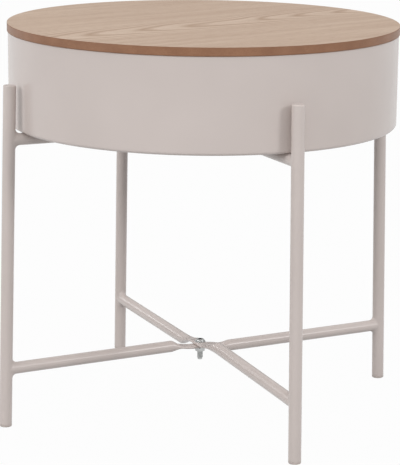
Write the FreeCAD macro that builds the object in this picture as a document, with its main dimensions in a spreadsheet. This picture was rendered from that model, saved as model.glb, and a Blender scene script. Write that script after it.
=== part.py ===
import FreeCAD, Part
import math
import operator
import os
from types import SimpleNamespace

import Sketcher

# A round side table: a veneered lid on a steel drum, carried by two welded tube frames that cross.
# It stands on the floor at z = 0 with its own axis as Z.
# Frame A, from the front left leg to the back right leg, lies along X.
# Frame B, from the front right leg to the back left leg, lies along Y.

# Driving sizes in millimetres, and angles in degrees
SIZES = (
    # Lid
    ("lid_diameter", 400),
    ("lid_core_thickness", 7.5),
    ("veneer_thickness", 0.5),
    ("veneer_arris", 0.3),
    # Blocks that centre the lid in the drum, and their screws
    ("cleat_length", 40),
    ("cleat_width", 14),
    ("cleat_height", 10),
    ("cleat_clearance", 1.5),
    ("screw_diameter", 3),
    ("screw_head_diameter", 6),
    ("screw_head_depth", 1.8),
    ("screw_point", 3),
    ("screw_cover", 2.5),
    # Drum, a little narrower than the lid
    ("lid_overhang", 1),
    ("drum_height", 94),
    ("drum_sheet", 1),
    ("drum_corner_radius", 3),
    ("pan_edge_height", 6),
    ("hem_depth", 8),
    ("hem_gap", 0.4),
    ("hem_round", 0.8),
    # Bars, and legs of a slightly wider tube that stand clear of the drum's side and rise past its floor
    ("bar_diameter", 12),
    ("leg_wider_than_bar", 0.7),
    ("tube_wall", 1.4),
    ("lower_bar_height", 60),
    ("upper_bar_height", 295.5),
    ("leg_above_bar", 54.5),
    ("leg_drum_gap", 4.65),
    ("leg_splay", 1.34),
    ("weld_size", 5),
    # Caps and glides in the ends of the legs
    ("cap_thickness", 1.5),
    ("cap_round", 1),
    ("glide_thickness", 3),
    ("glide_round", 1.2),
    ("plug_depth", 12),
    ("plug_clearance", 0.1),
    # Pressed crossings: the level pad, the flat stretch, and the neck back to round
    ("pad_half_length", 8.6),
    ("pad_width", 12.8),
    ("pressed_half_length", 21.7),
    ("neck_length", 12.7),
    ("lower_bar_b_neck_length", 23.6),
    # The lower bars are bent a little on their way to the crossing: height of the crossing and of each neck
    # above the bars' ends
    ("lower_crossing_lift", 2),
    ("lower_bar_a_front_lift", 3.3),
    ("lower_bar_a_back_lift", -2.9),
    ("lower_bar_b_front_lift", 9.1),
    ("lower_bar_b_back_lift", -2.7),
    # Bolts, washers and nuts of the crossings
    ("bolt_diameter", 6),
    ("bolt_length", 20),
    ("bolt_head_diameter", 9.5),
    ("bolt_head_height", 2.2),
    ("bolt_head_round", 1.8),
    ("bolt_tip_chamfer", 0.8),
    ("socket_width", 4),
    ("socket_depth", 1.6),
    ("hole_clearance", 0.25),
    ("washer_diameter", 11.2),
    ("washer_thickness", 1),
    ("nut_width", 10),
    ("nut_height", 4),
    ("thread_clearance", 0.05),
    # How far a cutting shape runs past the surface that it cuts
    ("overrun", 1),
)

# Two places nearer than this are the same place
SAME_PLACE = 1e-5

# A bar's flat stretch, and its neck where it goes from flat to round, are each shaped in this many steps
SHAPE_STEPS = 4

doc = FreeCAD.newDocument("RoundSideTable")
sheet = doc.addObject("Spreadsheet::Sheet", "Sizes")
for row, (name, number) in enumerate(SIZES, start=1):
    sheet.set("A%d" % row, name)
    sheet.set("B%d" % row, str(number))
    sheet.setAlias("B%d" % row, name)
doc.recompute()


class Size:
    """A size that knows the expression tying it to the sheet and the number it comes to."""

    def __init__(self, text, value):
        self.text = text
        self.value = value

    def __add__(self, other):
        return combined(operator.add, "+", self, other)

    def __radd__(self, other):
        return combined(operator.add, "+", other, self)

    def __sub__(self, other):
        return combined(operator.sub, "-", self, other)

    def __rsub__(self, other):
        return combined(operator.sub, "-", other, self)

    def __mul__(self, other):
        return combined(operator.mul, "*", self, other)

    def __rmul__(self, other):
        return combined(operator.mul, "*", other, self)

    def __truediv__(self, other):
        return combined(operator.truediv, "/", self, other)


def sized(item):
    """A plain number as a Size."""
    if isinstance(item, Size):
        return item
    return Size(str(item), item)


def combined(work, sign, left, right):
    """Two sizes joined by one arithmetic sign, in text and in value."""
    left = sized(left)
    right = sized(right)
    text = "(%s %s %s)" % (left.text, sign, right.text)
    return Size(text, work(left.value, right.value))


def cosine(angle):
    return Size("cos(%s)" % angle.text, math.cos(math.radians(angle.value)))


def tangent(angle):
    return Size("tan(%s)" % angle.text, math.tan(math.radians(angle.value)))


s = SimpleNamespace()
for name, number in SIZES:
    setattr(s, name, Size("Sizes." + name, sheet.get(name)))

# Levels and lengths that follow from the driving sizes
lid_radius = s.lid_diameter / 2
drum_base = s.upper_bar_height + s.bar_diameter / 2
rim_level = drum_base + s.drum_height
core_level = rim_level + s.veneer_thickness
top_veneer_level = core_level + s.lid_core_thickness
lid_top = top_veneer_level + s.veneer_thickness
drum_radius = lid_radius - s.lid_overhang
drum_inside = drum_radius - s.drum_sheet
hem_inside = drum_radius - s.drum_sheet * 2 - s.hem_gap
leg_radius = (s.bar_diameter + s.leg_wider_than_bar) / 2
bore_radius = leg_radius - s.tube_wall
plug_radius = bore_radius - s.plug_clearance
leg_height = s.upper_bar_height + s.leg_above_bar
leg_top_radius = drum_radius + s.leg_drum_gap + leg_radius
foot_radius = leg_top_radius + leg_height * tangent(s.leg_splay)
leg_length = leg_height / cosine(s.leg_splay)
pad_thickness = s.tube_wall * 2
lower_crossing = s.lower_bar_height + s.lower_crossing_lift
hole_radius = s.bolt_diameter / 2 + s.hole_clearance
cleat_outside = hem_inside - s.cleat_clearance
cleat_base = rim_level - s.cleat_height
screw_circle = cleat_outside - s.cleat_width / 2
screw_length = lid_top - s.screw_cover - cleat_base

# Half the angle between two neighbouring corners of a hexagon, seen from its centre
half_corner_angle = Size("30", 30)

# Each leg's name, the turn about Z from +X to it, and which way that points
SIDES = (
    ("front_left", 180, -1, 0),
    ("back_right", 0, 1, 0),
    ("front_right", 270, 0, -1),
    ("back_left", 90, 0, 1),
)

nodes = []


def node(item):
    """Marks an object as one of the table's pieces."""
    nodes.append(item)
    return item


def bind(item, prop, size):
    item.setExpression(prop, sized(size).text)


def place(item, x=0, y=0, z=0, yaw=0, pitch=0):
    """Puts an object at a point, tipped by pitch and then turned about Z by yaw."""
    numbers = tuple(sized(each).text for each in (x, y, z, yaw, pitch))
    item.setExpression("Placement", "placement(vector(%s; %s; %s); rotation(%s; %s; 0))" % numbers)
    return item


def level(sketch, kind, corner, size):
    """Fixes one coordinate of a sketch corner: on an axis where the size is zero, else at its distance."""
    if sized(size).value == 0:
        axis = -2 if kind == "DistanceX" else -1
        sketch.addConstraint(Sketcher.Constraint("PointOnObject", corner, 1, axis))
        return
    index = sketch.addConstraint(Sketcher.Constraint(kind, -1, 1, corner, 1, size.value))
    bind(sketch, "Constraints[%d]" % index, size)


def turned(label, corners):
    """A body turned about its own Z axis from a closed outline of (radius, height) corners."""
    body = doc.addObject("PartDesign::Body", label)
    sketch = body.newObject("Sketcher::SketchObject", label + "_outline")
    plane = [each for each in body.Origin.OriginFeatures if each.Role == "XZ_Plane"][0]
    sketch.AttachmentSupport = (plane, [""])
    sketch.MapMode = "FlatFace"
    points = [FreeCAD.Vector(sized(radius).value, sized(height).value, 0) for radius, height in corners]
    for start, end in zip(points, points[1:] + points[:1]):
        sketch.addGeometry(Part.LineSegment(start, end), False)
    for index in range(len(corners)):
        sketch.addConstraint(Sketcher.Constraint("Coincident", index, 2, (index + 1) % len(corners), 1))
    for index, (radius, height) in enumerate(corners):
        level(sketch, "DistanceX", index, radius)
        level(sketch, "DistanceY", index, height)
    turn = body.newObject("PartDesign::Revolution", label + "_turned")
    turn.Profile = sketch
    turn.ReferenceAxis = (sketch, ["V_Axis"])
    turn.Angle = 360
    return body


def rims(body, places):
    """The names of the circular edges at these (radius, height) places of a turned body."""
    body.recompute(True)
    found = []
    for index, edge in enumerate(body.Tip.Shape.Edges, start=1):
        if not isinstance(edge.Curve, Part.Circle):
            continue
        for radius, height in places:
            off = abs(edge.Curve.Radius - radius.value) + abs(edge.Curve.Center.z - sized(height).value)
            if off < SAME_PLACE:
                found.append("Edge%d" % index)
    return found


def rounded(body, radius, places):
    """Rounds the circular edges of a turned body at these places."""
    edges = rims(body, places)
    base = body.Tip
    fillet = body.newObject("PartDesign::Fillet", body.Label + "_round")
    fillet.Base = (base, edges)
    bind(fillet, "Radius", radius)
    return body


def chamfered(body, size, places):
    """Bevels the circular edges of a turned body at these places."""
    edges = rims(body, places)
    base = body.Tip
    chamfer = body.newObject("PartDesign::Chamfer", body.Label + "_bevel")
    chamfer.Base = (base, edges)
    bind(chamfer, "Size", size)
    return body


def ring(label, inside, outside, height, base=0):
    """A plain ring or tube on its own Z axis."""
    top = base + height
    return turned(label, [(inside, base), (outside, base), (outside, top), (inside, top)])


def disc(label, radius, height):
    return turned(label, [(0, 0), (radius, 0), (radius, height), (0, height)])


def box(label, length, width, height):
    item = doc.addObject("Part::Box", label)
    bind(item, "Length", length)
    bind(item, "Width", width)
    bind(item, "Height", height)
    return item


def rod(label, radius, height):
    item = doc.addObject("Part::Cylinder", label)
    bind(item, "Radius", radius)
    bind(item, "Height", height)
    return item


def hexagon(label, width, height):
    """A six-sided prism of this width across its flats."""
    item = doc.addObject("Part::Prism", label)
    item.Polygon = 6
    bind(item, "Circumradius", width / 2 / cosine(half_corner_angle))
    bind(item, "Height", height)
    return item


def cut(label, base, tool):
    item = doc.addObject("Part::Cut", label)
    item.Base = base
    item.Tool = tool
    return item


def common(label, first, second):
    item = doc.addObject("Part::MultiCommon", label)
    item.Shapes = [first, second]
    return item


def together(label, items):
    item = doc.addObject("Part::MultiFuse", label)
    item.Shapes = items
    return item


# Lid: a board with a brown edge between two thin veneers, with pilot holes for the screws from below

def pilot_holes(label):
    """Four rods where the screws' shanks run."""
    holes = []
    for name, turn, x, y in SIDES:
        hole = rod("%s_%s" % (label, name), s.screw_diameter / 2, screw_length)
        place(hole, screw_circle * x, screw_circle * y, cleat_base)
        holes.append(hole)
    return together(label, holes)


def lid():
    holes = pilot_holes("pilot_holes")
    core = disc("lid_core_blank", lid_radius, s.lid_core_thickness)
    place(core, z=core_level)
    node(cut("lid_core", core, holes))
    below = disc("lid_veneer_bottom_blank", lid_radius, s.veneer_thickness)
    rounded(below, s.veneer_arris, [(lid_radius, 0)])
    place(below, z=rim_level)
    node(cut("lid_veneer_bottom", below, holes))
    above = node(disc("lid_veneer_top", lid_radius, s.veneer_thickness))
    rounded(above, s.veneer_arris, [(lid_radius, s.veneer_thickness)])
    place(above, z=top_veneer_level)


# Cleats: blocks whose outer face follows the drum's rim, each held by one countersunk screw

def cleat(number, turn, x, y):
    label = "lid_cleat_%d" % number
    block = box(label + "_block", s.cleat_width * 2, s.cleat_length, s.cleat_height)
    place(block, cleat_outside - s.cleat_width, s.cleat_length / -2)
    curve = rod(label + "_curve", cleat_outside, s.cleat_height)
    shaped = common(label + "_shaped", block, curve)
    screw_room = turned(label + "_screw_room", screw_outline())
    place(screw_room, screw_circle)
    drilled = node(cut(label, shaped, screw_room))
    place(drilled, z=cleat_base, yaw=turn)
    screw = node(turned("lid_screw_%d" % number, screw_outline()))
    place(screw, screw_circle * x, screw_circle * y, cleat_base)


def cleats():
    for number, (side, turn, x, y) in enumerate(SIDES, start=1):
        cleat(number, turn, x, y)


def screw_outline():
    """A countersunk wood screw from its flat head at the bottom to its point at the top."""
    shank = s.screw_diameter / 2
    return [
        (0, 0),
        (s.screw_head_diameter / 2, 0),
        (shank, s.screw_head_depth),
        (shank, screw_length - s.screw_point),
        (0, screw_length),
    ]


# Drum: a shallow pan with a rounded edge, and a rolled side that ends in a folded rim

def drum():
    pan = node(turned("drum_floor", [
        (hole_radius, 0),
        (drum_radius, 0),
        (drum_radius, s.pan_edge_height),
        (drum_inside, s.pan_edge_height),
        (drum_inside, s.drum_sheet),
        (hole_radius, s.drum_sheet),
    ]))
    rounded(pan, s.drum_corner_radius, [(drum_radius, 0)])
    rounded(pan, s.drum_corner_radius - s.drum_sheet, [(drum_inside, s.drum_sheet)])
    place(pan, z=drum_base)
    under_fold = s.drum_height - s.drum_sheet
    hem_end = s.drum_height - s.hem_depth
    side = node(turned("drum_wall", [
        (drum_radius, s.pan_edge_height),
        (drum_radius, s.drum_height),
        (hem_inside, s.drum_height),
        (hem_inside, hem_end),
        (hem_inside + s.drum_sheet, hem_end),
        (hem_inside + s.drum_sheet, under_fold),
        (drum_inside, under_fold),
        (drum_inside, s.pan_edge_height),
    ]))
    rounded(side, s.hem_round, [(drum_radius, s.drum_height), (hem_inside, s.drum_height)])
    place(side, z=drum_base)


# Legs: straight tubes that splay outwards to the floor, closed by a cap and a glide

def stand(item, turn, x, y):
    """Puts a piece modelled along Z onto the leg's axis, with its zero on the floor."""
    return place(item, foot_radius * x, foot_radius * y, 0, turn, s.leg_splay * -1)


def leg(side, turn, x, y, ground):
    tube_length = leg_length - s.glide_thickness - s.cap_thickness
    tube = node(ring("leg_" + side, bore_radius, leg_radius, tube_length, s.glide_thickness))
    stand(tube, turn, x, y)
    tube_end = leg_length - s.cap_thickness
    cap = node(turned("leg_cap_" + side, [
        (0, tube_end - s.plug_depth),
        (plug_radius, tube_end - s.plug_depth),
        (plug_radius, tube_end),
        (leg_radius, tube_end),
        (leg_radius, leg_length),
        (0, leg_length),
    ]))
    rounded(cap, s.cap_round, [(leg_radius, leg_length)])
    stand(cap, turn, x, y)
    # The glide starts a little under the floor and is then cut level by it
    tilt_drop = leg_radius * tangent(s.leg_splay)
    lowest = tilt_drop * -1
    glide = turned("foot_glide_%s_blank" % side, [
        (0, lowest),
        (leg_radius, lowest),
        (leg_radius, s.glide_thickness),
        (plug_radius, s.glide_thickness),
        (plug_radius, s.glide_thickness + s.plug_depth),
        (0, s.glide_thickness + s.plug_depth),
    ])
    rounded(glide, s.glide_round, [(leg_radius, lowest)])
    stand(glide, turn, x, y)
    node(cut("foot_glide_" + side, glide, ground))


def legs():
    ground = box("ground", foot_radius * 4, foot_radius * 4, s.glide_thickness)
    place(ground, foot_radius * -2, foot_radius * -2, s.glide_thickness * -1)
    for side, turn, x, y in SIDES:
        leg(side, turn, x, y, ground)


# Bars: round tubes welded between two legs, pressed flat in the middle, where they cross and are bolted.
# A bar is shaped along X, from its front leg at -X to its back leg at +X.

def outline(at, tip, share):
    """The tube's outline at a point, tipped from upright, pressed from round at share 0 to flat at 1.

    The press holds the tube's sides in, so it hardly gets wider as its height goes down.
    """
    diameter = s.bar_diameter.value
    flat = pad_thickness.value
    height = diameter + (flat - diameter) * share
    width = diameter + (s.pad_width.value - diameter) * share
    round_corner = diameter / 2 * math.cos(math.pi / 4)
    flat_corner = (s.pad_width.value - flat) / 2
    corner_y = round_corner + (flat_corner - round_corner) * share
    corner_z = round_corner + (flat / 2 - round_corner) * share
    upright = FreeCAD.Vector(-math.sin(tip), 0, math.cos(tip))

    def point(across, high):
        return at + FreeCAD.Vector(0, across, 0) + upright * high

    near_top = point(-corner_y, corner_z)
    far_top = point(corner_y, corner_z)
    far_low = point(corner_y, -corner_z)
    near_low = point(-corner_y, -corner_z)
    far_side = Part.Arc(far_top, point(width / 2, 0), far_low).toShape()
    near_side = Part.Arc(near_low, point(-width / 2, 0), near_top).toShape()
    if share == 1:
        top = Part.LineSegment(near_top, far_top).toShape()
        bottom = Part.LineSegment(far_low, near_low).toShape()
    else:
        top = Part.Arc(near_top, point(0, height / 2), far_top).toShape()
        bottom = Part.Arc(far_low, point(0, -height / 2), near_low).toShape()
    return Part.Wire([top, far_side, bottom, near_side])


def eased(share):
    """A share from 0 to 1 that leaves and arrives gently."""
    return share * share * (3 - 2 * share)


def leg_axis(side):
    """A leg's point on the floor and the direction of its axis, for a leg at -X or +X."""
    splay = math.radians(s.leg_splay.value)
    foot = FreeCAD.Vector(foot_radius.value * side, 0, 0)
    return foot, FreeCAD.Vector(-math.sin(splay) * side, 0, math.cos(splay))


def bar_half(side, height, pad_level, lift, neck_length):
    """One half of a bar towards the leg at -X or +X: its neck and its round tube, and the tube's axis."""
    neck_end = s.pressed_half_length.value + neck_length.value
    reach = leg_top_radius.value + (leg_height.value - height) * tangent(s.leg_splay).value
    start = FreeCAD.Vector(neck_end * side, 0, height + lift)
    end = FreeCAD.Vector(reach * side, 0, height)
    along = (end - start).normalize()
    tip = math.atan(along.z / along.x)
    # The flat stretch rises or falls from the pad, and the neck then takes it back to round
    pad_end = s.pad_half_length.value
    pressed_end = s.pressed_half_length.value
    stations = [pad_end]
    for stretch_end in (pressed_end, neck_end):
        stretch = stretch_end - stations[-1]
        stations += [stretch_end - stretch * step / SHAPE_STEPS for step in reversed(range(SHAPE_STEPS))]
    outlines = []
    for station in stations:
        rise = eased((station - pad_end) / (neck_end - pad_end))
        pressed = 1 - eased(max(station - pressed_end, 0) / neck_length.value)
        spot = FreeCAD.Vector(station * side, 0, pad_level + (height + lift - pad_level) * rise)
        outlines.append(outline(spot, tip if station == neck_end else 0, pressed))
    neck = Part.makeLoft(outlines, True, False)
    tube = Part.makeCylinder(s.bar_diameter.value / 2, (end - start).Length, start, along)
    return neck, tube, start, along


def bar(label, height, crossing, pad_side, turn, front_lift=0, back_lift=0, neck_length=s.neck_length):
    """A whole bar. At the crossing its pad lies on top where pad_side is 1, and below where it is -1."""
    pad_level = crossing.value + pad_thickness.value / 2 * pad_side
    pad_half = s.pad_half_length.value
    flat = outline(FreeCAD.Vector(-pad_half, 0, pad_level), 0, 1)
    solid = Part.Face(flat).extrude(FreeCAD.Vector(pad_half * 2, 0, 0))
    hollows = []
    for side, lift in ((-1, front_lift), (1, back_lift)):
        neck, tube, start, along = bar_half(side, height.value, pad_level, sized(lift).value, neck_length)
        solid = solid.fuse([neck, tube])
        bore = s.bar_diameter.value / 2 - s.tube_wall.value
        hollows.append(Part.makeCylinder(bore, foot_radius.value, start, along))
        foot, upwards = leg_axis(side)
        hollows.append(Part.makeCylinder(leg_radius.value, leg_length.value, foot, upwards))
    low = FreeCAD.Vector(0, 0, pad_level - pad_thickness.value)
    hollows.append(Part.makeCylinder(hole_radius.value, pad_thickness.value * 2, low))
    solid = solid.removeSplitter().cut(hollows)
    feature = node(doc.addObject("Part::Feature", label))
    feature.Shape = solid
    feature.Placement = FreeCAD.Placement(FreeCAD.Vector(), FreeCAD.Rotation(turn, 0, 0))


def bead(height, lift, side, neck_length):
    """The hollow-faced bead where one end of a bar meets its leg, left over from a filleted tee joint."""
    neck_end = s.pressed_half_length.value + neck_length.value
    foot, upwards = leg_axis(side)
    centre = foot + upwards * (height / upwards.z)
    start = FreeCAD.Vector(neck_end * side, 0, height + lift)
    along = (start - centre).normalize()
    stretch = (leg_radius + s.weld_size * 4).value
    tube = Part.makeCylinder(s.bar_diameter.value / 2, stretch, centre, along)
    post = Part.makeCylinder(leg_radius.value, stretch * 2, centre - upwards * stretch, upwards)
    tee = post.fuse(tube)
    seam = []
    for edge in tee.Edges:
        middle = edge.valueAt((edge.FirstParameter + edge.LastParameter) / 2)
        off_post = abs((middle - centre).cross(upwards).Length - leg_radius.value)
        off_tube = abs((middle - centre).cross(along).Length - s.bar_diameter.value / 2)
        if off_post + off_tube < SAME_PLACE * leg_radius.value:
            seam.append(edge)
    return tee.makeFillet(s.weld_size.value, seam).cut([post, tube]).Solids[0]


def weld(label, turn, shape):
    feature = node(doc.addObject("Part::Feature", label))
    feature.Shape = shape
    feature.Placement = FreeCAD.Placement(FreeCAD.Vector(), FreeCAD.Rotation(turn, 0, 0))


def frame(letter, turn, legs_joined, lifts, lower_neck):
    """One frame's two bars and the four beads that join them to its two legs."""
    pad_side = 1 if letter == "b" else -1
    bar("upper_bar_" + letter, s.upper_bar_height, s.upper_bar_height, pad_side, turn)
    bar("lower_bar_" + letter, s.lower_bar_height, lower_crossing, pad_side, turn, *lifts, lower_neck)
    for side, name, lift in zip((-1, 1), legs_joined, lifts):
        weld("weld_upper_" + name, turn, bead(s.upper_bar_height.value, 0, side, s.neck_length))
        weld("weld_lower_" + name, turn, bead(s.lower_bar_height.value, lift.value, side, lower_neck))


# Crossing fasteners: a button-head bolt, washer and nut at each crossing.
# The upper bolt also holds the drum, over a spacer that bridges from the pads up to the drum's floor.

def bolt(label, head_level):
    """A bolt modelled from its tip up, placed with the underside of its head at head_level."""
    blank = turned(label + "_blank", [
        (0, 0),
        (s.bolt_diameter / 2, 0),
        (s.bolt_diameter / 2, s.bolt_length),
        (s.bolt_head_diameter / 2, s.bolt_length),
        (s.bolt_head_diameter / 2, s.bolt_length + s.bolt_head_height),
        (0, s.bolt_length + s.bolt_head_height),
    ])
    chamfered(blank, s.bolt_tip_chamfer, [(s.bolt_diameter / 2, 0)])
    rounded(blank, s.bolt_head_round, [(s.bolt_head_diameter / 2, s.bolt_length + s.bolt_head_height)])
    socket = hexagon(label + "_socket", s.socket_width, s.socket_depth + s.overrun)
    place(socket, z=s.bolt_length + s.bolt_head_height - s.socket_depth)
    node(place(cut(label, blank, socket), z=head_level - s.bolt_length))


def nut(label, top_level):
    blank = hexagon(label + "_blank", s.nut_width, s.nut_height)
    corner = s.nut_width / 2 / cosine(half_corner_angle)
    bevel = corner - s.nut_width / 2
    barrel = turned(label + "_barrel", [
        (s.bolt_diameter / 2 + s.thread_clearance, 0),
        (s.nut_width / 2, 0),
        (corner, bevel),
        (corner, s.nut_height - bevel),
        (s.nut_width / 2, s.nut_height),
        (s.bolt_diameter / 2 + s.thread_clearance, s.nut_height),
    ])
    node(place(common(label, blank, barrel), z=top_level - s.nut_height))


def washer(label, base_level):
    item = node(ring(label, hole_radius, s.washer_diameter / 2, s.washer_thickness))
    place(item, z=base_level)


def fasteners():
    lower_top = lower_crossing + pad_thickness
    washer("lower_washer", lower_top)
    bolt("lower_bolt", lower_top + s.washer_thickness)
    nut("lower_nut", lower_crossing - pad_thickness)
    floor_top = drum_base + s.drum_sheet
    washer("upper_washer", floor_top)
    bolt("upper_bolt", floor_top + s.washer_thickness)
    upper_top = s.upper_bar_height + pad_thickness
    spacer = node(ring("upper_spacer", hole_radius, s.washer_diameter / 2, drum_base - upper_top))
    place(spacer, z=upper_top)
    nut("upper_nut", s.upper_bar_height - pad_thickness)


def checked_nodes():
    """Stops on any failed feature or broken solid before a file is written."""
    doc.recompute()
    for item in doc.Objects:
        if "Invalid" in item.State or "Error" in item.State:
            raise RuntimeError("%s failed: %s" % (item.Label, item.State))
    for item in nodes:
        if item.Shape.isNull() or not item.Shape.isValid() or not item.Shape.Solids:
            raise RuntimeError("%s has no sound solid" % item.Label)
    return nodes


lid()
cleats()
drum()
legs()
frame("a", 0, ("front_left", "back_right"), (s.lower_bar_a_front_lift, s.lower_bar_a_back_lift), s.neck_length)
frame(
    "b",
    90,
    ("front_right", "back_left"),
    (s.lower_bar_b_front_lift, s.lower_bar_b_back_lift),
    s.lower_bar_b_neck_length,
)
fasteners()

os.makedirs("parts", exist_ok=True)
for item in checked_nodes():
    item.Shape.exportStep("parts/%s.step" % item.Label)
    size = item.Shape.BoundBox
    print(item.Label, len(item.Shape.Solids), "solids", round(item.Shape.Volume), "mm3", size)
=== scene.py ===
"""Looks of a round side table: a veneered lid over a powder-coated steel drum, held by two welded tube frames.

Sizes are in millimetres and angles in degrees until a piece is finished, when its mesh is brought to metres.
"""

import math

import bmesh
import bpy
from mathutils import Matrix, Vector


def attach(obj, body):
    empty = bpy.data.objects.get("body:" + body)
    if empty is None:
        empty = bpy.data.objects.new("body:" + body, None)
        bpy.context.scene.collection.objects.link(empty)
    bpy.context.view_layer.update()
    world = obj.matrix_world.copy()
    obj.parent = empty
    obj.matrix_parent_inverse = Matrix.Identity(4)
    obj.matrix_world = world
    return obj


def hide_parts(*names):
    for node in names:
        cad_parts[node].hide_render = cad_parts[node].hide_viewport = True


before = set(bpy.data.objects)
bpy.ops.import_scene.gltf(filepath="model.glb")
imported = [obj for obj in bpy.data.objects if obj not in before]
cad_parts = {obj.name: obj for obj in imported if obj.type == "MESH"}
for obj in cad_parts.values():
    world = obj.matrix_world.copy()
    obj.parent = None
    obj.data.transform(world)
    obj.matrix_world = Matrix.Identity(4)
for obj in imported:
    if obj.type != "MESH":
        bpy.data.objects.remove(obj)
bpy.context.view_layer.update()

MM = 0.001

# Lid
LID_RADIUS = 200
CORE_LEVEL = 396
TOP_VENEER_LEVEL = 403.5
LID_TOP = 404
VENEER_ARRIS = 0.3
BOARD_ARRIS = 0.25

# Blocks under the lid and their screws
CLEAT_LENGTH = 40
CLEAT_WIDTH = 14
CLEAT_HEIGHT = 10
CLEAT_OUTSIDE = 195.1
CLEAT_ARRIS = 0.7
CLEAT_STEPS = 16
SCREW_CIRCLE = 188.1
SCREW_LENGTH = 16
SCREW_RADIUS = 1.5
SCREW_HEAD_RADIUS = 3
SCREW_FACE_RADIUS = 2.25
SCREW_HEAD_DEPTH = 1.8
SCREW_POINT = 3
CROSS_REACH = 1.8
CROSS_HALF_WIDTH = 0.45
CROSS_DEPTH = 1.3

# Drum
DRUM_RADIUS = 199
DRUM_BASE = 301.5
RIM_LEVEL = 395.5
DRUM_SHEET = 1
PAN_EDGE = 6
PAN_CORNER = 3
HEM_DEPTH = 8
HEM_INSIDE = 196.6
HEM_ROUND = 0.8
SHEET_ARRIS = 0.3

# Legs
LEG_RADIUS = 6.35
TUBE_WALL = 1.4
PLUG_RADIUS = 4.85
PLUG_DEPTH = 12
LEG_LENGTH = 350.096
LEG_HEIGHT = 350
LEG_TOP_RADIUS = 210
FOOT_RADIUS = 218.187
LEG_SPLAY = 1.34
CAP_THICKNESS = 1.5
CAP_ROUND = 1
GLIDE_THICKNESS = 3
GLIDE_ROUND = 1.2

# Bars
BAR_RADIUS = 6
PAD_THICKNESS = 2.8
PAD_WIDTH = 12.8
PAD_HALF_LENGTH = 8.6
PRESSED_HALF_LENGTH = 21.7
LOWER_BAR_HEIGHT = 60
LOWER_CROSSING = 62
UPPER_BAR_HEIGHT = 295.5

# Crossing fasteners
BOLT_RADIUS = 3
BOLT_LENGTH = 20
BOLT_HEAD_RADIUS = 4.75
BOLT_HEAD_HEIGHT = 2.2
BOLT_HEAD_ROUND = 1.8
BOLT_TIP = 0.8
THREAD_PITCH = 1
THREAD_ROOT = 2.46
SOCKET_WIDTH = 4
SOCKET_MOUTH_RADIUS = 2.56
SOCKET_DEPTH = 1.6
WASHER_RADIUS = 5.6
WASHER_HOLE = 3.25
WASHER_THICKNESS = 1
WASHER_ROUND = 0.4
WASHER_ARRIS = 0.2

# How finely round pieces are divided, and the bend past which an edge is left sharp
WIDE_STEPS = 288
TUBE_STEPS = 64
SMALL_STEPS = 48
CORNER_STEPS = 5
PAD_STEPS = 2
PRESSED_STEPS = 6
NECK_STEPS = 16
RUN_STEPS = 8
SHARP_BEND = math.radians(35)

# Points nearer than this are one
MERGE = 0.0005

# Each leg's name and the turn about Z from +X to it
LEG_TURNS = {"front_left": 180, "back_right": 0, "front_right": 270, "back_left": 90}


def linear(colour):
    """A colour written as sRGB hex, as the linear RGBA that shaders work in."""
    channels = [int(colour[at:at + 2], 16) / 255 for at in (1, 3, 5)]
    return [c / 12.92 if c <= 0.04045 else ((c + 0.055) / 1.055) ** 2.4 for c in channels] + [1]


def add_node(tree, kind, settings=None, inputs=None):
    """Adds a node with its settings and its inputs; an input given as (node, output) is linked to it."""
    node = tree.nodes.new(kind)
    for name, value in (settings or {}).items():
        setattr(node, name, value)
    for socket, value in (inputs or {}).items():
        if isinstance(value, tuple) and isinstance(value[0], bpy.types.Node):
            tree.links.new(value[0].outputs[value[1]], node.inputs[socket])
        else:
            node.inputs[socket].default_value = value
    return node


def finish_for(name):
    """An empty material, its node tree, its shader and the piece's own coordinates."""
    material = bpy.data.materials.new(name)
    material.use_nodes = True
    tree = material.node_tree
    shader = tree.nodes["Principled BSDF"]
    place = add_node(tree, "ShaderNodeTexCoord")
    return material, tree, shader, place


def blend_stops(node, stops):
    """Sets a colour ramp's stops from (position, colour) pairs."""
    ramp = node.color_ramp
    while len(ramp.elements) < len(stops):
        ramp.elements.new(0.5)
    for element, (position, colour) in zip(ramp.elements, stops):
        element.position = position
        element.color = linear(colour)


# Finishes


def powder_coated_steel():
    """Warm light grey powder coat, sprayed on tube and sheet and baked: satin, with a fine orange peel."""
    material, tree, shader, place = finish_for("powder_coated_steel")
    # Slow drift of the film's thickness, a hand wide, shows as a very slight change of tone
    drift = add_node(tree, "ShaderNodeTexNoise", None, {
        "Vector": (place, "Object"), "Scale": 1000 / 90, "Detail": 2, "Roughness": 0.5})
    tone = add_node(tree, "ShaderNodeValToRGB", None, {"Fac": (drift, "Fac")})
    blend_stops(tone, [(0.15, "#c9beb9"), (0.85, "#d1c6c1")])
    tree.links.new(tone.outputs["Color"], shader.inputs["Base Color"])
    # Orange peel: soft waves about 1.6 mm apart, shallow enough that a tube's highlight stays one smooth line
    peel = add_node(tree, "ShaderNodeTexNoise", None, {
        "Vector": (place, "Object"), "Scale": 1000 / 1.6, "Detail": 1.5, "Roughness": 0.45})
    waves = add_node(tree, "ShaderNodeBump", None, {
        "Height": (peel, "Fac"), "Strength": 0.12, "Distance": 0.03 * MM})
    tree.links.new(waves.outputs["Normal"], shader.inputs["Normal"])
    shader.inputs["Roughness"].default_value = 0.26
    shader.inputs["IOR"].default_value = 1.5
    return material


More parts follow.
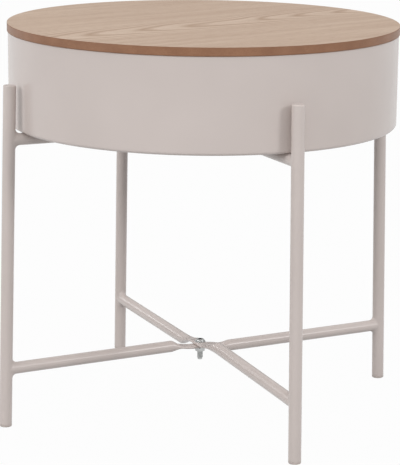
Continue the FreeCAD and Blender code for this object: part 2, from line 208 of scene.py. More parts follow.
def ash_veneer():
    """Flat-sawn ash veneer under matt lacquer: warm tan, with nested arches of growth rings and fine dark pores."""
    material, tree, shader, place = finish_for("ash_veneer")
    # The log lies 15 degrees off X, its heart about 80 mm under the sheet and rising by 3 degrees towards the back
    # right, so the rings come out as long arches that open that way
    level = add_node(tree, "ShaderNodeMapping", {"vector_type": "POINT"}, {
        "Vector": (place, "Object"), "Location": (0, 22 * MM, -324 * MM),
        "Rotation": (0, 0, math.radians(-15))})
    log = add_node(tree, "ShaderNodeMapping", {"vector_type": "POINT"}, {
        "Vector": (level, "Vector"), "Rotation": (0, math.radians(3), 0)})
    # The trunk isn't straight: it wanders sideways by some millimetres over a few hundred
    wander = add_node(tree, "ShaderNodeTexNoise", {"noise_dimensions": "3D"}, {
        "Vector": (log, "Vector"), "Scale": 1000 / 190, "Detail": 2, "Roughness": 0.5})
    shift = add_node(tree, "ShaderNodeVectorMath", {"operation": "SUBTRACT"}, {
        0: (wander, "Color"), 1: (0.5, 0.5, 0.5)})
    swayed = add_node(tree, "ShaderNodeVectorMath", {"operation": "MULTIPLY_ADD"}, {
        0: (shift, "Vector"), 1: (0, 0.03, 0.007), 2: (log, "Vector")})
    across = add_node(tree, "ShaderNodeVectorMath", {"operation": "MULTIPLY"}, {
        0: (swayed, "Vector"), 1: (0, 1, 1)})
    from_heart = add_node(tree, "ShaderNodeVectorMath", {"operation": "LENGTH"}, {0: (across, "Vector")})
    # Growth rings 3.2 mm apart, as in fast-grown ash
    rings = add_node(tree, "ShaderNodeMath", {"operation": "MULTIPLY"}, {
        0: (from_heart, "Value"), 1: 1000 / 3.2})
    ring = add_node(tree, "ShaderNodeMath", {"operation": "FRACT"}, {0: (rings, "Value")})
    # Each ring starts with an open, darker band and closes pale
    ring_tone = add_node(tree, "ShaderNodeValToRGB", None, {"Fac": (ring, "Value")})
    blend_stops(ring_tone, [(0.0, "#c7af9a"), (0.25, "#aa8d74"), (0.5, "#c8b19c"), (1.0, "#cfb8a4")])
    # Pores: short dark dashes along the grain, 0.35 mm wide and 12 mm long
    pore_place = add_node(tree, "ShaderNodeMapping", {"vector_type": "POINT"}, {
        "Vector": (level, "Vector"), "Scale": (1000 / 12, 1000 / 0.35, 1000 / 0.35)})
    pores = add_node(tree, "ShaderNodeTexNoise", None, {
        "Vector": (pore_place, "Vector"), "Scale": 1, "Detail": 2, "Roughness": 0.6})
    pore_depth = add_node(tree, "ShaderNodeMapRange", None, {
        "Value": (pores, "Fac"), "From Min": 0.54, "From Max": 0.72, "To Min": 0, "To Max": 1})
    # Broad streaks 14 mm wide and 260 mm long, as in neighbouring fibres that took the lacquer differently
    streak_place = add_node(tree, "ShaderNodeMapping", {"vector_type": "POINT"}, {
        "Vector": (level, "Vector"), "Scale": (1000 / 260, 1000 / 14, 1000 / 14)})
    streaks = add_node(tree, "ShaderNodeTexNoise", None, {
        "Vector": (streak_place, "Vector"), "Scale": 1, "Detail": 3, "Roughness": 0.55})
    streak_tone = add_node(tree, "ShaderNodeValToRGB", None, {"Fac": (streaks, "Fac")})
    blend_stops(streak_tone, [(0.3, "#ece5e0"), (0.7, "#ffffff")])
    wood = add_node(tree, "ShaderNodeMix", {"data_type": "RGBA", "blend_type": "MULTIPLY"}, {
        "Factor": 1, 6: (ring_tone, "Color"), 7: (streak_tone, "Color")})
    pored = add_node(tree, "ShaderNodeMix", {"data_type": "RGBA", "blend_type": "MIX"}, {
        "Factor": (pore_depth, "Result"), 6: (wood, 2), 7: linear("#9f836d")})
    # The sheet's cut edge takes the board edge's brown stain, so the lid's side shows no pale line
    from_axis = add_node(tree, "ShaderNodeVectorMath", {"operation": "MULTIPLY"}, {
        0: (place, "Object"), 1: (1, 1, 0)})
    radius = add_node(tree, "ShaderNodeVectorMath", {"operation": "LENGTH"}, {0: (from_axis, "Vector")})
    cut_edge = add_node(tree, "ShaderNodeMath", {"operation": "GREATER_THAN"}, {
        0: (radius, "Value"), 1: (LID_RADIUS - VENEER_ARRIS / 2) * MM})
    edged = add_node(tree, "ShaderNodeMix", {"data_type": "RGBA", "blend_type": "MIX"}, {
        "Factor": (cut_edge, "Value"), 6: (pored, 2), 7: linear("#8d644a")})
    tree.links.new(edged.outputs[2], shader.inputs["Base Color"])
    sunk = add_node(tree, "ShaderNodeBump", {"invert": True}, {
        "Height": (pore_depth, "Result"), "Strength": 0.35, "Distance": 0.05 * MM})
    tree.links.new(sunk.outputs["Normal"], shader.inputs["Normal"])
    gloss = add_node(tree, "ShaderNodeMapRange", None, {
        "Value": (pore_depth, "Result"), "To Min": 0.5, "To Max": 0.68})
    tree.links.new(gloss.outputs["Result"], shader.inputs["Roughness"])
    shader.inputs["IOR"].default_value = 1.5
    return material


def stained_board_edge():
    """Fibreboard edge, stained brown and lacquered: even red-brown with a fine speckle of fibres and a soft sheen."""
    material, tree, shader, place = finish_for("stained_board_edge")
    # Fibre bundles about 0.8 mm long, lying level in the board
    fibre_place = add_node(tree, "ShaderNodeMapping", {"vector_type": "POINT"}, {
        "Vector": (place, "Object"), "Scale": (1000 / 0.8, 1000 / 0.8, 1000 / 0.35)})
    fibres = add_node(tree, "ShaderNodeTexNoise", None, {
        "Vector": (fibre_place, "Vector"), "Scale": 1, "Detail": 3, "Roughness": 0.6})
    # The stain takes a little darker in patches some 15 mm wide
    patches = add_node(tree, "ShaderNodeTexNoise", None, {
        "Vector": (place, "Object"), "Scale": 1000 / 15, "Detail": 2, "Roughness": 0.5})
    fibre_tone = add_node(tree, "ShaderNodeValToRGB", None, {"Fac": (fibres, "Fac")})
    blend_stops(fibre_tone, [(0.3, "#865d42"), (0.7, "#a17557")])
    patch_tone = add_node(tree, "ShaderNodeValToRGB", None, {"Fac": (patches, "Fac")})
    blend_stops(patch_tone, [(0.3, "#ebe6e2"), (0.7, "#ffffff")])
    stain = add_node(tree, "ShaderNodeMix", {"data_type": "RGBA", "blend_type": "MULTIPLY"}, {
        "Factor": 1, 6: (fibre_tone, "Color"), 7: (patch_tone, "Color")})
    tree.links.new(stain.outputs[2], shader.inputs["Base Color"])
    nap = add_node(tree, "ShaderNodeBump", None, {
        "Height": (fibres, "Fac"), "Strength": 0.3, "Distance": 0.04 * MM})
    tree.links.new(nap.outputs["Normal"], shader.inputs["Normal"])
    shader.inputs["Roughness"].default_value = 0.42
    shader.inputs["IOR"].default_value = 1.5
    return material


def planed_pine():
    """Pine, planed and left bare: yellow-white, with straight darker late-wood lines along each block."""
    material, tree, shader, place = finish_for("planed_pine")
    # Lines 2.5 mm apart; one block in two shows them on its side
    lines = add_node(tree, "ShaderNodeTexWave", {"wave_type": "BANDS", "bands_direction": "Z"}, {
        "Vector": (place, "Object"), "Scale": 1000 / 2.5 / (2 * math.pi), "Distortion": 1.5,
        "Detail": 2, "Detail Scale": 0.4})
    tone = add_node(tree, "ShaderNodeValToRGB", None, {"Fac": (lines, "Fac")})
    blend_stops(tone, [(0.0, "#d9bd92"), (0.75, "#e4cca6"), (1.0, "#c39a68")])
    tree.links.new(tone.outputs["Color"], shader.inputs["Base Color"])
    # Planing leaves fibres raised by a few hundredths
    fuzz = add_node(tree, "ShaderNodeTexNoise", None, {
        "Vector": (place, "Object"), "Scale": 1000 / 0.7, "Detail": 2})
    raised = add_node(tree, "ShaderNodeBump", None, {
        "Height": (fuzz, "Fac"), "Strength": 0.3, "Distance": 0.05 * MM})
    tree.links.new(raised.outputs["Normal"], shader.inputs["Normal"])
    shader.inputs["Roughness"].default_value = 0.7
    shader.inputs["IOR"].default_value = 1.5
    return material


def moulded_polyethylene():
    """Polyethylene glide, injection moulded in the frame's grey: waxy, softly glossy, faintly grained."""
    material, tree, shader, place = finish_for("moulded_polyethylene")
    grain = add_node(tree, "ShaderNodeTexNoise", None, {
        "Vector": (place, "Object"), "Scale": 1000 / 0.6, "Detail": 2, "Roughness": 0.5})
    tone = add_node(tree, "ShaderNodeValToRGB", None, {"Fac": (grain, "Fac")})
    blend_stops(tone, [(0.35, "#bfb4ae"), (0.65, "#c6bbb5")])
    tree.links.new(tone.outputs["Color"], shader.inputs["Base Color"])
    pebble = add_node(tree, "ShaderNodeBump", None, {
        "Height": (grain, "Fac"), "Strength": 0.4, "Distance": 0.03 * MM})
    tree.links.new(pebble.outputs["Normal"], shader.inputs["Normal"])
    shader.inputs["Roughness"].default_value = 0.48
    shader.inputs["IOR"].default_value = 1.51
    shader.inputs["Subsurface Weight"].default_value = 0.05
    shader.inputs["Subsurface Radius"].default_value = (1 * MM, 1 * MM, 1 * MM)
    return material


def zinc_plated_steel():
    """Bright zinc plate on turned steel: cool grey metal with a slightly cloudy shine and fine tool marks."""
    material, tree, shader, place = finish_for("zinc_plated_steel")
    # Cloudy patches of the plating bath, 2.5 mm wide
    cloud = add_node(tree, "ShaderNodeTexNoise", None, {
        "Vector": (place, "Object"), "Scale": 1000 / 2.5, "Detail": 3, "Roughness": 0.55})
    tone = add_node(tree, "ShaderNodeValToRGB", None, {"Fac": (cloud, "Fac")})
    blend_stops(tone, [(0.3, "#b3b4b3"), (0.7, "#cbcccb")])
    tree.links.new(tone.outputs["Color"], shader.inputs["Base Color"])
    gloss = add_node(tree, "ShaderNodeMapRange", None, {
        "Value": (cloud, "Fac"), "From Min": 0.3, "From Max": 0.7, "To Min": 0.24, "To Max": 0.4})
    tree.links.new(gloss.outputs["Result"], shader.inputs["Roughness"])
    # Tool marks 0.25 mm apart
    marks = add_node(tree, "ShaderNodeTexNoise", None, {
        "Vector": (place, "Object"), "Scale": 1000 / 0.25, "Detail": 1})
    scored = add_node(tree, "ShaderNodeBump", None, {
        "Height": (marks, "Fac"), "Strength": 0.2, "Distance": 0.01 * MM})
    tree.links.new(scored.outputs["Normal"], shader.inputs["Normal"])
    shader.inputs["Metallic"].default_value = 1
    return material


paint = powder_coated_steel()
veneer = ash_veneer()
board_edge = stained_board_edge()
pine = planed_pine()
plastic = moulded_polyethylene()
zinc = zinc_plated_steel()


# Ways of shaping


def section(corners, rounds=None, closed=True):
    """A bmesh with the outline of a turned piece in its XZ plane, from (radius, height) corners.

    rounds gives the corners to round, by their place in the list, each with its radius.
    """
    bm = bmesh.new()
    points = [bm.verts.new((radius, 0, height)) for radius, height in corners]
    pairs = list(zip(points, points[1:] + points[:1]))
    for start, end in pairs if closed else pairs[:-1]:
        if start.co.x > 0 or end.co.x > 0:
            bm.edges.new((start, end))
    for index, radius in (rounds or {}).items():
        bmesh.ops.bevel(
            bm, geom=[points[index]], offset=radius, segments=CORNER_STEPS, profile=0.5,
            affect="VERTICES", material=-1)
    return bm


def turn_round(bm, steps):
    """Turns an outline about the Z axis into a closed skin."""
    bmesh.ops.spin(
        bm, geom=bm.verts[:] + bm.edges[:], cent=(0, 0, 0), axis=(0, 0, 1), angle=2 * math.pi,
        steps=steps, use_merge=True)
    bmesh.ops.remove_doubles(bm, verts=bm.verts[:], dist=MERGE)
    bmesh.ops.recalc_face_normals(bm, faces=bm.faces[:])
    return bm


def turned(corners, steps, rounds=None):
    """A piece turned about the Z axis from a closed outline."""
    return turn_round(section(corners, rounds), steps)


def placed(bm, matrix):
    bmesh.ops.transform(bm, matrix=matrix, verts=bm.verts[:])
    return bm


def piece(name, bm, finish, body, replaced):
    """Makes a finished shape into a piece of the table, with its place in its mesh, in metres."""
    bmesh.ops.scale(bm, vec=(MM, MM, MM), verts=bm.verts[:])
    for face in bm.faces:
        face.smooth = True
    for edge in bm.edges:
        edge.smooth = len(edge.link_faces) == 2 and edge.calc_face_angle(0) < SHARP_BEND
    mesh = bpy.data.meshes.new(name)
    bm.to_mesh(mesh)
    bm.free()
    mesh.materials.append(finish)
    made = bpy.data.objects.new(name, mesh)
    bpy.context.collection.objects.link(made)
    # Wide flat faces keep their own shading next to narrow rounded edges
    even = made.modifiers.new("even_shading", "WEIGHTED_NORMAL")
    even.keep_sharp = True
    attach(made, body)
    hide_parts(replaced)
    return made


# Lid


def lid_boards():
    veneer_top = turned(
        [(0, TOP_VENEER_LEVEL), (LID_RADIUS, TOP_VENEER_LEVEL), (LID_RADIUS, LID_TOP), (0, LID_TOP)],
        WIDE_STEPS, {2: VENEER_ARRIS})
    piece("lid_top_veneer", veneer_top, veneer, "lid", "lid_veneer_top")
    board = turned(
        [(0, CORE_LEVEL), (LID_RADIUS, CORE_LEVEL), (LID_RADIUS, TOP_VENEER_LEVEL), (0, TOP_VENEER_LEVEL)],
        WIDE_STEPS, {1: BOARD_ARRIS, 2: BOARD_ARRIS})
    piece("lid_board", board, board_edge, "lid", "lid_core")
    veneer_bottom = turned(
        [(0, RIM_LEVEL), (LID_RADIUS, RIM_LEVEL), (LID_RADIUS, CORE_LEVEL), (0, CORE_LEVEL)],
        WIDE_STEPS, {1: VENEER_ARRIS})
    piece("lid_bottom_veneer", veneer_bottom, veneer, "lid", "lid_veneer_bottom")


def cleat(number, turn):
    """A block whose outer face follows the drum's rim, with its sawn edges eased."""
    block = bmesh.new()
    bmesh.ops.create_cube(block, size=1)
    bmesh.ops.scale(block, vec=(CLEAT_WIDTH, CLEAT_LENGTH, CLEAT_HEIGHT), verts=block.verts[:])
    base = RIM_LEVEL - CLEAT_HEIGHT
    middle = (CLEAT_OUTSIDE - CLEAT_WIDTH / 2, 0, base + CLEAT_HEIGHT / 2)
    bmesh.ops.translate(block, vec=middle, verts=block.verts[:])
    long_edges = [e for e in block.edges if abs(e.verts[0].co.y - e.verts[1].co.y) > 1]
    bmesh.ops.subdivide_edges(block, edges=long_edges, cuts=CLEAT_STEPS - 1, use_grid_fill=True)
    for vert in block.verts:
        if vert.co.x > CLEAT_OUTSIDE - 1:
            vert.co.x = math.sqrt(CLEAT_OUTSIDE ** 2 - vert.co.y ** 2)
    arrises = [e for e in block.edges if e.calc_face_angle(0) > math.radians(60)]
    bmesh.ops.bevel(
        block, geom=arrises, offset=CLEAT_ARRIS, segments=3, profile=0.5, affect="EDGES", material=-1)
    placed(block, Matrix.Rotation(math.radians(turn), 4, "Z"))
    piece("cleat_block_%d" % number, block, pine, "lid", "lid_cleat_%d" % number)


def sink(bm, ring, corners, depth):
    """Sinks a straight-sided recess of this outline inside a flat ring of edges, down its axis by depth."""
    shape = [bm.verts.new((x, y, ring[0].verts[0].co.z)) for x, y in corners]
    sides = [bm.edges.new(pair) for pair in zip(shape, shape[1:] + shape[:1])]
    cuts = len(ring) // len(sides) - 1
    split = bmesh.ops.subdivide_edges(bm, edges=sides, cuts=cuts)["geom_split"]
    mouth = list({e for e in split if isinstance(e, bmesh.types.BMEdge)})
    bmesh.ops.bridge_loops(bm, edges=ring + mouth)
    walls = bmesh.ops.extrude_edge_only(bm, edges=mouth)["geom"]
    floor = [v for v in walls if isinstance(v, bmesh.types.BMVert)]
    bmesh.ops.translate(bm, vec=(0, 0, -depth), verts=floor)
    bottom = [e for e in walls if isinstance(e, bmesh.types.BMEdge)]
    bottom = [e for e in bottom if e.verts[0] in floor and e.verts[1] in floor]
    bmesh.ops.contextual_create(bm, geom=bottom)


def open_ring(bm):
    """The open edges of a shape that is closed everywhere else."""
    return [e for e in bm.edges if e.is_boundary]


def screw(number, turn):
    """A countersunk wood screw with a cross recess, head down, as it is driven up into the lid."""
    shank = section([
        (SCREW_FACE_RADIUS, 0),
        (SCREW_HEAD_RADIUS, 0),
        (SCREW_RADIUS, -SCREW_HEAD_DEPTH),
        (SCREW_RADIUS, SCREW_POINT - SCREW_LENGTH),
        (0, -SCREW_LENGTH),
    ], closed=False)
    turn_round(shank, SMALL_STEPS)
    reach, half = CROSS_REACH, CROSS_HALF_WIDTH
    cross = [
        (reach, half), (half, half), (half, reach), (-half, reach), (-half, half), (-reach, half),
        (-reach, -half), (-half, -half), (-half, -reach), (half, -reach), (half, -half), (reach, -half)]
    sink(shank, open_ring(shank), cross, CROSS_DEPTH)
    bmesh.ops.recalc_face_normals(shank, faces=shank.faces[:])
    way = Matrix.Rotation(math.radians(turn), 4, "Z")
    way = way @ Matrix.Translation((SCREW_CIRCLE, 0, RIM_LEVEL - CLEAT_HEIGHT))
    placed(shank, way @ Matrix.Rotation(math.pi, 4, "X"))
    piece("cleat_screw_%d" % number, shank, zinc, "lid", "lid_screw_%d" % number)


# Drum


def drum():
    side = turned([
        (DRUM_RADIUS, DRUM_BASE + PAN_EDGE),
        (DRUM_RADIUS, RIM_LEVEL),
        (HEM_INSIDE, RIM_LEVEL),
        (HEM_INSIDE, RIM_LEVEL - HEM_DEPTH),
        (HEM_INSIDE + DRUM_SHEET, RIM_LEVEL - HEM_DEPTH),
        (HEM_INSIDE + DRUM_SHEET, RIM_LEVEL - DRUM_SHEET),
        (DRUM_RADIUS - DRUM_SHEET, RIM_LEVEL - DRUM_SHEET),
        (DRUM_RADIUS - DRUM_SHEET, DRUM_BASE + PAN_EDGE),
    ], WIDE_STEPS, {1: HEM_ROUND, 2: HEM_ROUND, 3: SHEET_ARRIS, 4: SHEET_ARRIS})
    piece("drum_side", side, paint, "base", "drum_wall")
    pan = turned([
        (WASHER_HOLE, DRUM_BASE),
        (DRUM_RADIUS, DRUM_BASE),
        (DRUM_RADIUS, DRUM_BASE + PAN_EDGE),
        (DRUM_RADIUS - DRUM_SHEET, DRUM_BASE + PAN_EDGE),
        (DRUM_RADIUS - DRUM_SHEET, DRUM_BASE + DRUM_SHEET),
        (WASHER_HOLE, DRUM_BASE + DRUM_SHEET),
    ], WIDE_STEPS, {1: PAN_CORNER, 4: PAN_CORNER - DRUM_SHEET})
    piece("drum_pan", pan, paint, "base", "drum_floor")


# Legs


def on_leg(turn):
    """From a leg's own frame, along Z with zero on the floor, to its place under the table."""
    way = Matrix.Rotation(math.radians(turn), 4, "Z") @ Matrix.Translation((FOOT_RADIUS, 0, 0))
    return way @ Matrix.Rotation(math.radians(-LEG_SPLAY), 4, "Y")


def leg(side, turn):
    tube_end = LEG_LENGTH - CAP_THICKNESS
    bore = LEG_RADIUS - TUBE_WALL
    tube = turned([
        (bore, GLIDE_THICKNESS), (LEG_RADIUS, GLIDE_THICKNESS), (LEG_RADIUS, tube_end), (bore, tube_end),
    ], TUBE_STEPS)
    piece("leg_tube_" + side, placed(tube, on_leg(turn)), paint, "base", "leg_" + side)
    cap = turned([
        (0, tube_end - PLUG_DEPTH),
        (PLUG_RADIUS, tube_end - PLUG_DEPTH),
        (PLUG_RADIUS, tube_end),
        (LEG_RADIUS, tube_end),
        (LEG_RADIUS, LEG_LENGTH),
        (0, LEG_LENGTH),
    ], TUBE_STEPS, {4: CAP_ROUND})
    piece("leg_end_cap_" + side, placed(cap, on_leg(turn)), paint, "base", "leg_cap_" + side)
    lowest = -LEG_RADIUS * math.tan(math.radians(LEG_SPLAY))
    glide = turned([
        (0, lowest),
        (LEG_RADIUS, lowest),
        (LEG_RADIUS, GLIDE_THICKNESS),
        (PLUG_RADIUS, GLIDE_THICKNESS),
        (PLUG_RADIUS, GLIDE_THICKNESS + PLUG_DEPTH),
        (0, GLIDE_THICKNESS + PLUG_DEPTH),
    ], TUBE_STEPS, {1: GLIDE_ROUND})
    placed(glide, on_leg(turn))
    # The glide is worn level by the floor
    cut = bmesh.ops.bisect_plane(
        glide, geom=glide.verts[:] + glide.edges[:] + glide.faces[:], plane_co=(0, 0, 0),
        plane_no=(0, 0, 1), clear_inner=True)["geom_cut"]
    bmesh.ops.contextual_create(glide, geom=[e for e in cut if isinstance(e, bmesh.types.BMEdge)])
    piece("glide_" + side, glide, plastic, "base", "foot_glide_" + side)


# Bars


def eased(share):
    """A share from 0 to 1 that leaves and arrives gently, and stays level outside."""
    share = min(max(share, 0), 1)
    return share * share * (3 - 2 * share)


def spread(start, length, steps):
    """Evenly spaced places after start, up to length from it."""
    return [start + length * step / steps for step in range(1, steps + 1)]


def along_arc(half_chord, rise, share):
    """How far along and how far below its crown an arc has come, at a share of -1 to 1 of its length."""
    if rise < 0.0001:
        return half_chord * share, 0
    radius = (half_chord ** 2 + rise ** 2) / (2 * rise)
    angle = math.asin(min(half_chord / radius, 1)) * share
    return radius * math.sin(angle), radius * (1 - math.cos(angle))


def pressed_outline(angle, share):
    """Where a point of the round tube, at this angle from +Y, goes as the tube is pressed flat, at share 0 to 1.

    Two sides stay bowed, held in by the press, while top and bottom come down to two walls' thickness.
    """
    height = 2 * BAR_RADIUS + (PAD_THICKNESS - 2 * BAR_RADIUS) * share
    width = 2 * BAR_RADIUS + (PAD_WIDTH - 2 * BAR_RADIUS) * share
    round_corner = BAR_RADIUS * math.sqrt(0.5)
    corner_y = round_corner + ((PAD_WIDTH - PAD_THICKNESS) / 2 - round_corner) * share
    corner_z = round_corner + (PAD_THICKNESS / 2 - round_corner) * share
    quarter = round(angle / (math.pi / 2)) % 4
    part = (angle - round(angle / (math.pi / 2)) * math.pi / 2) / (math.pi / 4)
    if quarter % 2 == 0:
        side = 1 if quarter == 0 else -1
        along, below = along_arc(corner_z, width / 2 - corner_y, part)
        return side * (width / 2 - below), side * along
    side = 1 if quarter == 1 else -1
    along, below = along_arc(corner_y, height / 2 - corner_z, part)
    return side * -along, side * (height / 2 - below)


def bar(name, height, crossing, pad_side, turn, front_lift=0, back_lift=0, neck_length=12.7):
    """A tube from leg to leg, pressed flat in the middle, from its front leg at -X to its back leg at +X.

    pad_side is 1 where its pad lies on top at the crossing, and -1 where it lies below.
    """
    pad_level = crossing + PAD_THICKNESS / 2 * pad_side
    neck_end = PRESSED_HALF_LENGTH + neck_length
    splay = math.tan(math.radians(LEG_SPLAY))
    reach = LEG_TOP_RADIUS + (LEG_HEIGHT - height) * splay
    stations = [0]
    stations += spread(0, PAD_HALF_LENGTH, PAD_STEPS)
    stations += spread(PAD_HALF_LENGTH, PRESSED_HALF_LENGTH - PAD_HALF_LENGTH, PRESSED_STEPS)
    stations += spread(PRESSED_HALF_LENGTH, neck_length, NECK_STEPS)
    stations += spread(neck_end, reach - neck_end, RUN_STEPS)
    stations = [-station for station in reversed(stations[1:])] + stations
    bm = bmesh.new()
    ring = bmesh.ops.create_circle(bm, segments=TUBE_STEPS, radius=1)["verts"]
    angles = [math.atan2(vert.co.y, vert.co.x) for vert in ring]
    for index, station in enumerate(stations):
        if index:
            loop = [e for e in bm.edges if e.verts[0] in ring and e.verts[1] in ring]
            grown = bmesh.ops.extrude_edge_only(bm, edges=loop)["geom"]
            new = {v for v in grown if isinstance(v, bmesh.types.BMVert)}
            # Each new corner follows the old one that it was drawn out from
            ring = [next(e.other_vert(old) for e in old.link_edges if e.other_vert(old) in new) for old in ring]
        out = abs(station)
        side = 1 if station > 0 else -1
        lift = back_lift if station > 0 else front_lift
        rise = eased((out - PAD_HALF_LENGTH) / (neck_end - PAD_HALF_LENGTH))
        level = pad_level + (height + lift - pad_level) * rise
        slope = 0
        if out > neck_end:
            slope = -lift / (reach - neck_end)
            level = height + lift + slope * (out - neck_end)
        press = 1 - eased((out - PRESSED_HALF_LENGTH) / neck_length)
        for vert, angle in zip(ring, angles):
            across, high = pressed_outline(angle, press)
            vert.co = (station - slope * side * high, across, level + high)
            if index in (0, len(stations) - 1):
                # The mouth is cut to the leg's round side, which leans by the splay
                leg_middle = reach + (height - vert.co.z) * splay
                vert.co.x = side * (leg_middle - math.sqrt(LEG_RADIUS ** 2 - across ** 2))
    for mouth in bmesh.ops.holes_fill(bm, edges=open_ring(bm), sides=0)["faces"]:
        mouth.normal_update()
    bmesh.ops.recalc_face_normals(bm, faces=bm.faces[:])
    placed(bm, Matrix.Rotation(math.radians(turn), 4, "Z"))
    piece(name + "_tube", bm, paint, "base", name)


# Crossing fasteners


def bolt(name, head_level):
    """A button-head bolt with a hexagon socket, threaded up to its head."""
    rim = BOLT_HEAD_RADIUS
    head = section([
        (SOCKET_MOUTH_RADIUS, BOLT_HEAD_HEIGHT),
        (rim, BOLT_HEAD_HEIGHT),
        (rim, 0),
        (0, 0),
    ], {1: BOLT_HEAD_ROUND}, closed=False)
    turn_round(head, SMALL_STEPS)
    corner = SOCKET_WIDTH / math.sqrt(3)
    hexagon = [(corner * math.cos(n * math.pi / 3), corner * math.sin(n * math.pi / 3)) for n in range(6)]
    sink(head, open_ring(head), hexagon, SOCKET_DEPTH)
    bmesh.ops.recalc_face_normals(head, faces=head.faces[:])
    # One groove of the thread, wound up the shank by its pitch at each turn
    turns = int((BOLT_LENGTH - BOLT_TIP) / THREAD_PITCH)
    groove = section([
        (THREAD_ROOT, 0),
        (THREAD_ROOT, THREAD_PITCH * 0.25),
        (BOLT_RADIUS, THREAD_PITCH * 0.56),
        (BOLT_RADIUS, THREAD_PITCH * 0.69),
        (THREAD_ROOT, THREAD_PITCH),
    ], closed=False)
    bmesh.ops.spin(
        groove, geom=groove.verts[:] + groove.edges[:], cent=(0, 0, 0), axis=(0, 0, 1),
        dvec=(0, 0, THREAD_PITCH / SMALL_STEPS), angle=2 * math.pi * turns, steps=SMALL_STEPS * turns)
    # Each turn's foot meets the last turn's top, a little less exactly than a plain turned skin closes
    bmesh.ops.remove_doubles(groove, verts=groove.verts[:], dist=MERGE * 10)
    bmesh.ops.holes_fill(groove, edges=open_ring(groove), sides=0)
    bmesh.ops.recalc_face_normals(groove, faces=groove.faces[:])
    bmesh.ops.translate(groove, vec=(0, 0, BOLT_TIP - BOLT_LENGTH), verts=groove.verts[:])
    tip = turned([
        (0, -BOLT_LENGTH), (BOLT_RADIUS - BOLT_TIP, -BOLT_LENGTH),
        (THREAD_ROOT, BOLT_TIP * 0.4 - BOLT_LENGTH), (THREAD_ROOT, BOLT_TIP * 2 - BOLT_LENGTH),
        (0, BOLT_TIP * 2 - BOLT_LENGTH),
    ], SMALL_STEPS)
    for part in (groove, tip):
        held = bpy.data.meshes.new("part")
        part.to_mesh(held)
        part.free()
        head.from_mesh(held)
        bpy.data.meshes.remove(held)
    placed(head, Matrix.Translation((0, 0, head_level)))
    piece(name + "_threaded", head, zinc, "base", name)


def washer(name, level):
    disc = turned([
        (WASHER_HOLE, level),
        (WASHER_RADIUS, level),
        (WASHER_RADIUS, level + WASHER_THICKNESS),
        (WASHER_HOLE, level + WASHER_THICKNESS),
    ], SMALL_STEPS, {2: WASHER_ROUND, 3: WASHER_ARRIS})
    piece(name + "_stamped", disc, zinc, "base", name)


# The table

lid_boards()
for number, (side, turn) in enumerate(LEG_TURNS.items(), start=1):
    cleat(number, turn)
    screw(number, turn)
drum()
for side, turn in LEG_TURNS.items():
    leg(side, turn)
bar("upper_bar_a", UPPER_BAR_HEIGHT, UPPER_BAR_HEIGHT, -1, 0)
bar("upper_bar_b", UPPER_BAR_HEIGHT, UPPER_BAR_HEIGHT, 1, 90)
bar("lower_bar_a", LOWER_BAR_HEIGHT, LOWER_CROSSING, -1, 0, front_lift=3.3, back_lift=-2.9)
bar("lower_bar_b", LOWER_BAR_HEIGHT, LOWER_CROSSING, 1, 90, front_lift=9.1, back_lift=-2.7, neck_length=23.6)
washer("lower_washer", LOWER_CROSSING + PAD_THICKNESS)
bolt("lower_bolt", LOWER_CROSSING + PAD_THICKNESS + WASHER_THICKNESS)
washer("upper_washer", DRUM_BASE + DRUM_SHEET)
bolt("upper_bolt", DRUM_BASE + DRUM_SHEET + WASHER_THICKNESS)

# Pieces kept from the solids take the same finishes
for side in LEG_TURNS:
    for weld in ("weld_upper_" + side, "weld_lower_" + side):
        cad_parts[weld].material_slots[0].material = paint
for fastener in ("lower_nut", "upper_nut", "upper_spacer"):
    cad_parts[fastener].material_slots[0].material = zinc


# Floor, light and camera


def studio_floor():
    """A matt floor that shows as white, also where metal mirrors it, all but the table's soft shadow.

    Its own grey keeps the light that it throws back up under the table low.
    """
    material, tree, shader, place = finish_for("white_floor")
    shader.inputs["Base Color"].default_value = linear("#a8a8a8")
    shader.inputs["Roughness"].default_value = 0.9
    shader.inputs["Specular IOR Level"].default_value = 0
    white = add_node(tree, "ShaderNodeEmission", None, {"Color": (1, 1, 1, 1), "Strength": 1})
    path = add_node(tree, "ShaderNodeLightPath")
    direct = add_node(tree, "ShaderNodeMath", {"operation": "MAXIMUM"}, {
        0: (path, "Is Camera Ray"), 1: (path, "Is Glossy Ray")})
    either = add_node(tree, "ShaderNodeMath", {"operation": "MAXIMUM"}, {
        0: (direct, "Value"), 1: (path, "Is Transmission Ray")})
    # The last few hundredths are the floor's own shading, which holds the shadow
    shown = add_node(tree, "ShaderNodeMath", {"operation": "MULTIPLY"}, {0: (either, "Value"), 1: 0.97})
    mixed = add_node(tree, "ShaderNodeMixShader", None, {
        "Fac": (shown, "Value"), 1: (shader, "BSDF"), 2: (white, "Emission")})
    tree.links.new(mixed.outputs["Shader"], tree.nodes["Material Output"].inputs["Surface"])
    bm = bmesh.new()
    bmesh.ops.create_grid(bm, x_segments=1, y_segments=1, size=30)
    mesh = bpy.data.meshes.new("floor")
    bm.to_mesh(mesh)
    bm.free()
    mesh.materials.append(material)
    floor = bpy.data.objects.new("floor", mesh)
    bpy.context.collection.objects.link(floor)


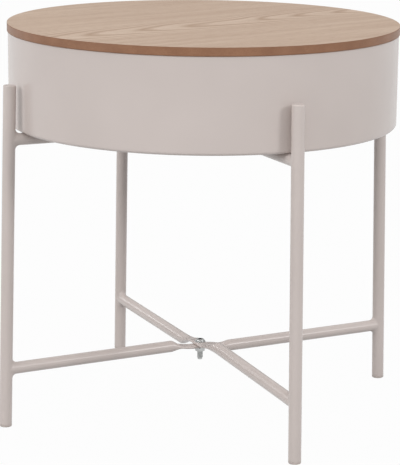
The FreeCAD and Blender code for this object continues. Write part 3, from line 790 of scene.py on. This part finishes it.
def soft_room():
    """A white room lit from above: dim low down and bright overhead."""
    world = bpy.data.worlds.new("soft_room")
    world.use_nodes = True
    bpy.context.scene.world = world
    tree = world.node_tree
    way = add_node(tree, "ShaderNodeTexCoord")
    height = add_node(tree, "ShaderNodeSeparateXYZ", None, {"Vector": (way, "Generated")})
    strength = add_node(tree, "ShaderNodeMapRange", {"interpolation_type": "SMOOTHSTEP"}, {
        "Value": (height, "Z"), "From Min": 0, "From Max": 0.6, "To Min": 0.15, "To Max": 0.95})
    around = tree.nodes["Background"]
    around.inputs["Color"].default_value = (1, 1, 1, 1)
    tree.links.new(strength.outputs["Result"], around.inputs["Strength"])


def soft_box(name, spot, size, power):
    """A square soft light at a spot in metres, aimed at the table's middle."""
    lamp = bpy.data.lights.new(name, "AREA")
    lamp.shape = "SQUARE"
    lamp.size = size
    lamp.energy = power
    box = bpy.data.objects.new(name, lamp)
    box.location = spot
    box.rotation_euler = (Vector((0, 0, 0.2)) - Vector(spot)).to_track_quat("-Z", "Y").to_euler()
    bpy.context.collection.objects.link(box)


def camera():
    """The camera at the photograph's place, found from the table's edges in it."""
    spot = Vector((-0.8737, -1.8568, 0.6514))
    forward = Vector((0.4145, 0.8824, -0.2225)).normalized()
    level = forward.cross(Vector((0, 0, 1))).normalized()
    up = level.cross(forward)
    roll = math.radians(0.6126)
    right = level * math.cos(roll) + up * math.sin(roll)
    up = up * math.cos(roll) - level * math.sin(roll)
    data = bpy.data.cameras.new("camera")
    data.sensor_width = 36
    data.lens = 2014.62 / 465 * data.sensor_width
    made = bpy.data.objects.new("camera", data)
    made.matrix_world = Matrix((right, up, -forward)).transposed().to_4x4()
    made.matrix_world.translation = spot
    bpy.context.collection.objects.link(made)
    bpy.context.scene.camera = made


studio_floor()
soft_room()
soft_box("left_light", (-3.07, -0.27, 1.5), 1.6, 33)
soft_box("front_light", (-0.99, -2.73, 1.55), 1.2, 12)
soft_box("right_light", (1.4, -2.75, 1.55), 0.6, 22)
soft_box("back_light", (-1.27, 2.99, 1.1), 0.6, 5)
camera()
bpy.context.scene.view_settings.view_transform = "Standard"
